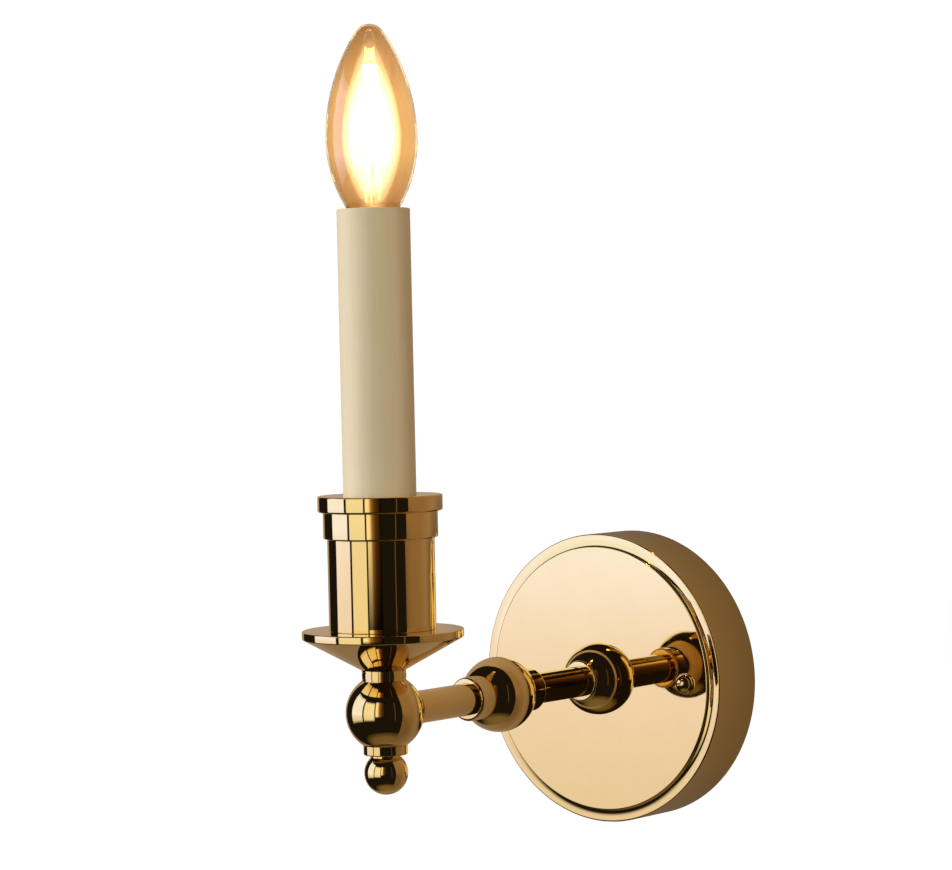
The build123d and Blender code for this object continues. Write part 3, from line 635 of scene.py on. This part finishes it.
def sleeve_outline():
    """Candle-shaped sleeve with softened edges."""
    sleeve_r = SLEEVE_HIGH.x
    sleeve_wall = 1.0
    bore_r = sleeve_r - sleeve_wall
    low, top = SLEEVE_LOW.z, SLEEVE_HIGH.z
    corners = [(bore_r, low + 1), (bore_r, low), (sleeve_r, low), (sleeve_r, top)]
    corners += [(bore_r, top), (bore_r, low + 2)]
    return rounded(corners, [0, 0.2, 0.45, 0.3])


def glass_outline(inset=0.0):
    """Half outline of the candle-shaped glass from its neck to its tip."""
    glass_r, upper_r, lower_r, nose_r, neck_r, blend_r = GLASS_HIGH.x, 73.7, 51.0, 6.2, 6.3, 5.0
    nose_z = GLASS_HIGH.z - nose_r
    middle = nose_z - sqrt((upper_r - nose_r) ** 2 - (upper_r - glass_r) ** 2)
    blend_x = neck_r + blend_r
    drop = sqrt((lower_r + blend_r) ** 2 - (blend_x - glass_r + lower_r) ** 2)
    blend_angle = degrees(atan2(-drop, blend_x - glass_r + lower_r))
    nose_angle = degrees(atan2(nose_z - middle, upper_r - glass_r))
    points = [(neck_r - inset, GLASS_LOW.z)]
    points += arc((blend_x, middle - drop), blend_r + inset, 180, 180 + blend_angle, 4.0)
    points += arc((glass_r - lower_r, middle), lower_r - inset, blend_angle, 0, 1.5)[1:]
    points += arc((glass_r - upper_r, middle), upper_r - inset, 0, nose_angle, 1.5)[1:]
    points += arc((0, nose_z), nose_r - inset, nose_angle, 90, 5.0)[1:]
    points[-1] = (0, nose_z + nose_r - inset)
    return points


def glass_shell_outline():
    """Thin glass: outer outline up, inner outline back down."""
    wall = 0.7
    return glass_outline() + list(reversed(glass_outline(wall)))


def build_lathes(materials, slots):
    """Finely turned meshes that stand for the CAD model's turned brass, sleeve and glass."""
    rear_far, rear_near = node_box("rear_arm_tube")
    front_far, front_near = node_box("front_arm_tube")
    knop_low, knop_high = node_box("arm_knop")
    knop_y = -(knop_low.y + knop_high.y) / 2
    turned = [
        ("backplate", plate_outline(), ON_ARM, "fixture", 512),
        ("wall_dome", dome_outline(), on_arm_at(DISC_FACE), "fixture", 256),
        ("rear_arm_tube", arm_tube_outline(-rear_near.y, -rear_far.y), ON_ARM, "fixture", 256),
        ("arm_knop", knop_outline(), on_arm_at(knop_y), "fixture", 256),
        ("front_arm_tube", arm_tube_outline(-front_near.y, -front_far.y), ON_ARM, "fixture", 256),
        ("arm_end_ring", end_ring_outline(), ON_ARM, "fixture", 256),
        ("junction_ball", ball_outline(), ON_CANDLE, "fixture", 256),
        ("finial", finial_outline(), ON_CANDLE, "fixture", 256),
        ("neck_collar", neck_outline(), ON_CANDLE, "fixture", 256),
        ("drip_tray", tray_outline(), ON_CANDLE, "fixture", 256),
        ("candle_cup", cup_outline(), ON_CANDLE, "fixture", 256),
        ("cup_rim_ring", rim_outline(), ON_CANDLE, "fixture", 256),
        ("candle_sleeve", sleeve_outline(), ON_CANDLE, "sleeve", 192),
        ("bulb_glass", glass_shell_outline(), ON_CANDLE, "bulb", 192),
    ]
    for node, outline, place, body, segments in turned:
        closed = outline[0][0] > 0 or outline[-1][0] > 0
        piece = lathe(f"{node}_turned", outline, place, closed, segments)
        finish_piece(piece, node, body, materials, slots)


def lamp_glow():
    """Glow of the lit filaments: three nested hazes inside the glass, which the glass tints."""
    material, tree, output = bare_material("lamp_glow")
    clear = tree.nodes.new("ShaderNodeBsdfTransparent")
    haze = tree.nodes.new("ShaderNodeEmission")
    haze.inputs["Color"].default_value = (0.82, 0.93, 1.0, 1)
    haze.inputs["Strength"].default_value = 85.0
    tree.links.new(clear.outputs["BSDF"], output.inputs["Surface"])
    tree.links.new(haze.outputs["Emission"], output.inputs["Volume"])
    tip_to_widest = 43.6
    widest_z = GLASS_HIGH.z - tip_to_widest
    flame = [(0, -25.5), (4.5, -23), (7.4, -17.5), (10.1, -9.5), (11.4, -0.5), (10.7, 8.5), (8.9, 17.5)]
    flame += [(6.3, 25.5), (3.7, 32.5), (1.6, 36.5), (0, 38.5)]
    middle = 3.5
    for name, share in (("glow_outer", 1.0), ("glow_middle", 0.86), ("glow_inner", 0.68)):
        centre = widest_z + middle * (1 - share)
        outline = [(radius * share, centre + height * share) for radius, height in flame]
        piece = lathe(name, smooth_outline(outline), ON_CANDLE, False, 64)
        piece.data.materials.append(material)
        piece.visible_diffuse = False
        piece.visible_shadow = False
        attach(piece, "bulb")


# --------------------------------------------------------------------- studio and camera


STUDIO_R = 1.9
LIGHT_AIM_Z = 0.12
BACKDROP_R = 8.0
FLOOR_Z = -0.6
CANDLE_PLACE = Vector((0, -REACH * MM, 0))


def emitter(name, colour, strength=1.0):
    """Plain emitting material, with its tree and its emission node."""
    material, tree, output = bare_material(name)
    light = tree.nodes.new("ShaderNodeEmission")
    light.inputs["Color"].default_value = (*colour, 1)
    light.inputs["Strength"].default_value = strength
    tree.links.new(light.outputs["Emission"], output.inputs["Surface"])
    return material, tree, light


def panel_light(name, tint, across, up):
    """Light panel whose colour is a tint times one ramp across and one ramp up it."""
    material, tree, light = emitter(name, (1, 1, 1))
    place = tree.nodes.new("ShaderNodeTexCoord").outputs["UV"]
    colour = tint
    for axis, stops in (("X", across), ("Y", up)):
        ramp = colour_ramp(tree, axis_value(tree, place, axis), stops)
        colour = multiplied(tree, colour, ramp)
    tree.links.new(colour, light.inputs["Color"])
    return material


def direction(azimuth, elevation):
    """Unit vector: azimuth from -Y towards +X and elevation above the horizon, degrees."""
    a, e = radians(azimuth), radians(elevation)
    return Vector((sin(a) * cos(e), -cos(a) * cos(e), sin(e)))


def card(name, azimuths, elevations, material):
    """Curved panel round the object, seen only in reflections and by what it lights."""
    steps = 16
    mesh = bmesh.new()
    spread = mesh.loops.layers.uv.new("panel")
    grid = []
    for row in range(steps + 1):
        elevation = elevations[0] + (elevations[1] - elevations[0]) * row / steps
        line = []
        for column in range(steps + 1):
            azimuth = azimuths[0] + (azimuths[1] - azimuths[0]) * column / steps
            line.append(mesh.verts.new(CANDLE_PLACE + direction(azimuth, elevation) * STUDIO_R))
        grid.append(line)
    for row in range(steps):
        for column in range(steps):
            corners = [(row, column), (row, column + 1), (row + 1, column + 1), (row + 1, column)]
            face = mesh.faces.new([grid[r][c] for r, c in corners])
            for loop, (r, c) in zip(face.loops, corners):
                loop[spread].uv = (c / steps, r / steps)
    data = bpy.data.meshes.new(name)
    mesh.to_mesh(data)
    mesh.free()
    panel = bpy.data.objects.new(name, data)
    bpy.context.scene.collection.objects.link(panel)
    data.materials.append(material)
    panel.visible_camera = False
    panel.visible_shadow = False
    return panel


def flat_sheet(name, corners, material):
    """Flat stage panel through four corners."""
    data = bpy.data.meshes.new(name)
    data.from_pydata([tuple(c) for c in corners], [], [(0, 1, 2, 3)])
    panel = bpy.data.objects.new(name, data)
    bpy.context.scene.collection.objects.link(panel)
    data.materials.append(material)
    return panel


def wall_board():
    """Tan board in the wall's plane: shaded by the plate, paler to the windows, darker low down."""
    material, tree, light = emitter("wall_board", (1, 1, 1))
    place = object_coordinates(tree)
    side = map_range(tree, axis_value(tree, place, "X"), -0.15, 0.22, 0, 1)
    colour = mix_colours(tree, side, (0.44, 0.34, 0.26), (0.29, 0.185, 0.10))
    tree.links.new(colour, light.inputs["Color"])
    far = tree.nodes.new("ShaderNodeVectorMath")
    far.operation = "LENGTH"
    tree.links.new(place, far.inputs[0])
    strength = tree.nodes.new("ShaderNodeMath")
    strength.operation = "MULTIPLY"
    tree.links.new(map_range(tree, far.outputs["Value"], 0.058, 0.12, 0.45, 1.0), strength.inputs[0])
    tree.links.new(map_range(tree, axis_value(tree, place, "Z"), -0.22, 0.06, 0.62, 1.05), strength.inputs[1])
    tree.links.new(strength.outputs["Value"], light.inputs["Strength"])
    low, high, left, right, y = -1.2, 1.4, -0.5, 2.6, 0.002
    corners = [(left, y, low), (right, y, low), (right, y, high), (left, y, high)]
    sheet = flat_sheet("wall_board", corners, material)
    sheet.visible_camera = False
    sheet.visible_transmission = False
    sheet.visible_shadow = False


def make_cards():
    """Two tall windows, a bright gap and a thin far edge, with a tan floor below."""
    white = (1, 1, 1)
    black = (0, 0, 0)
    pane = [(0.0, black), (0.025, white), (0.975, white), (1.0, black)]
    height = [(0.0, black), (0.08, white), (0.92, white), (1.0, black)]
    sky = [(0.0, (0.05, 0.04, 0.02)), (0.10, (0.82, 0.68, 0.50)), (0.18, (0.89, 0.77, 0.67))]
    sky += [(0.25, (0.96, 0.84, 0.83)), (0.33, (1.05, 1.04, 1.20)), (0.45, (1.0, 1.0, 1.0))]
    sky += [(0.9, (1.0, 1.0, 0.95)), (1.0, (0.6, 0.6, 0.6))]
    garden = [(0.0, (0.05, 0.04, 0.02)), (0.12, (0.90, 0.86, 0.80)), (0.4, white), (0.9, white), (1.0, black)]
    gap = [(0.0, black), (0.04, (1.0, 1.0, 0.9)), (0.24, (0.95, 0.85, 0.7)), (0.38, (0.30, 0.17, 0.06))]
    gap += [(0.6, (0.08, 0.04, 0.012)), (1.0, black)]
    edge = [(0.0, black), (0.5, white), (1.0, black)]
    ground = [(0.0, (1.0, 1.0, 1.0)), (0.55, (0.85, 0.84, 0.67)), (1.0, black)]
    cards = [
        ("window_left", (-71.5, -28.5), (-20, 36), (1.05, 1.22, 1.85), pane, sky),
        ("window_right", (-24.5, 10.0), (-19, 33), (1.04, 1.06, 1.02), pane, garden),
        ("window_gap", (12.5, 42.0), (-8, 36), (1.2, 1.15, 1.05), gap, height),
        ("far_edge", (69.5, 72.5), (-20, 36), (0.20, 0.12, 0.05), edge, height),
        ("ground_glow", (-180, 180), (-89.5, -50), (0.20, 0.155, 0.09), [(0, white)], ground),
    ]
    for name, azimuths, elevations, tint, across, up in cards:
        panel = card(name, azimuths, elevations, panel_light(name, tint, across, up))
        panel.visible_transmission = name != "ground_glow"


def soft_light(name, azimuth, elevation, power, colour):
    """Soft area light that lights the matt pieces and doesn't show in the brass."""
    data = bpy.data.lights.new(name, "AREA")
    data.shape = "DISK"
    data.size = 0.9
    data.energy = power
    data.color = colour
    lamp = bpy.data.objects.new(name, data)
    spot = direction(azimuth, elevation)
    aim = CANDLE_PLACE + Vector((0, 0, LIGHT_AIM_Z))
    lamp.location = aim + spot * STUDIO_R
    lamp.rotation_mode = "QUATERNION"
    lamp.rotation_quaternion = spot.to_track_quat("Z", "Y")
    lamp.visible_glossy = False
    lamp.visible_transmission = False
    lamp.visible_camera = False
    bpy.context.scene.collection.objects.link(lamp)


def make_studio():
    """Cards for the reflections, soft lights for the matt pieces, and a white backdrop."""
    make_cards()
    wall_board()
    soft_light("key", -60, 18, 19.5, (1.0, 0.97, 0.93))
    soft_light("fill", 15, 8, 20.0, (1.0, 0.93, 0.84))
    soft_light("wall_side", 125, 5, 8.5, (1.0, 0.80, 0.60))
    white, _, _ = emitter("backdrop", (1.0, 1.0, 1.0), 1.05)
    bpy.ops.mesh.primitive_uv_sphere_add(segments=64, ring_count=32, radius=BACKDROP_R, location=CANDLE_PLACE)
    dome = bpy.context.object
    dome.name = "backdrop"
    dome.data.materials.append(white)
    dome.visible_diffuse = False
    dome.visible_glossy = False
    dome.visible_shadow = False
    world = bpy.data.worlds.new("room")
    world.use_nodes = True
    background = world.node_tree.nodes["Background"]
    background.inputs["Color"].default_value = (0.012, 0.010, 0.009, 1)
    background.inputs["Strength"].default_value = 1.0
    bpy.context.scene.world = world


def pale_floor():
    """Plain pale floor below the light."""
    material, _, shader = new_material("pale_floor")
    shader.inputs["Base Color"].default_value = (0.9, 0.9, 0.9, 1)
    shader.inputs["Roughness"].default_value = 0.8
    shader.inputs["Emission Color"].default_value = (1, 1, 1, 1)
    shader.inputs["Emission Strength"].default_value = 1.0
    half = 7.0
    corners = [(x * half, y * half, FLOOR_Z) for x, y in ((-1, -1), (1, -1), (1, 1), (-1, 1))]
    floor = flat_sheet("pale_floor", corners, material)
    floor.visible_glossy = False
    floor.visible_diffuse = False


def make_camera():
    """Camera at the viewing angle: right of the arm, level with the candle."""
    place = Vector((0.7728, -1.0537, 0.1371))
    yaw, pitch, roll = radians(39.14), radians(-1.55), radians(1.285)
    forward = Vector((-sin(yaw) * cos(pitch), cos(yaw) * cos(pitch), sin(pitch)))
    level = Vector((cos(yaw), sin(yaw), 0))
    upright = level.cross(forward)
    right = level * cos(roll) - upright * sin(roll)
    up = upright * cos(roll) + level * sin(roll)
    data = bpy.data.cameras.new("camera")
    data.sensor_width = 36.0
    data.lens = 117.04
    data.clip_end = 50.0
    data.dof.use_dof = False
    camera = bpy.data.objects.new("camera", data)
    bpy.context.scene.collection.objects.link(camera)
    camera.matrix_world = Matrix.Translation(place) @ Matrix((right, up, -forward)).transposed().to_4x4()
    bpy.context.scene.camera = camera


MATERIALS = make_materials()
SLOTS = dress_cad_nodes(MATERIALS)
build_lathes(MATERIALS, SLOTS)
lamp_glow()
make_studio()
pale_floor()
make_camera()
bpy.context.scene.view_settings.view_transform = "Standard"
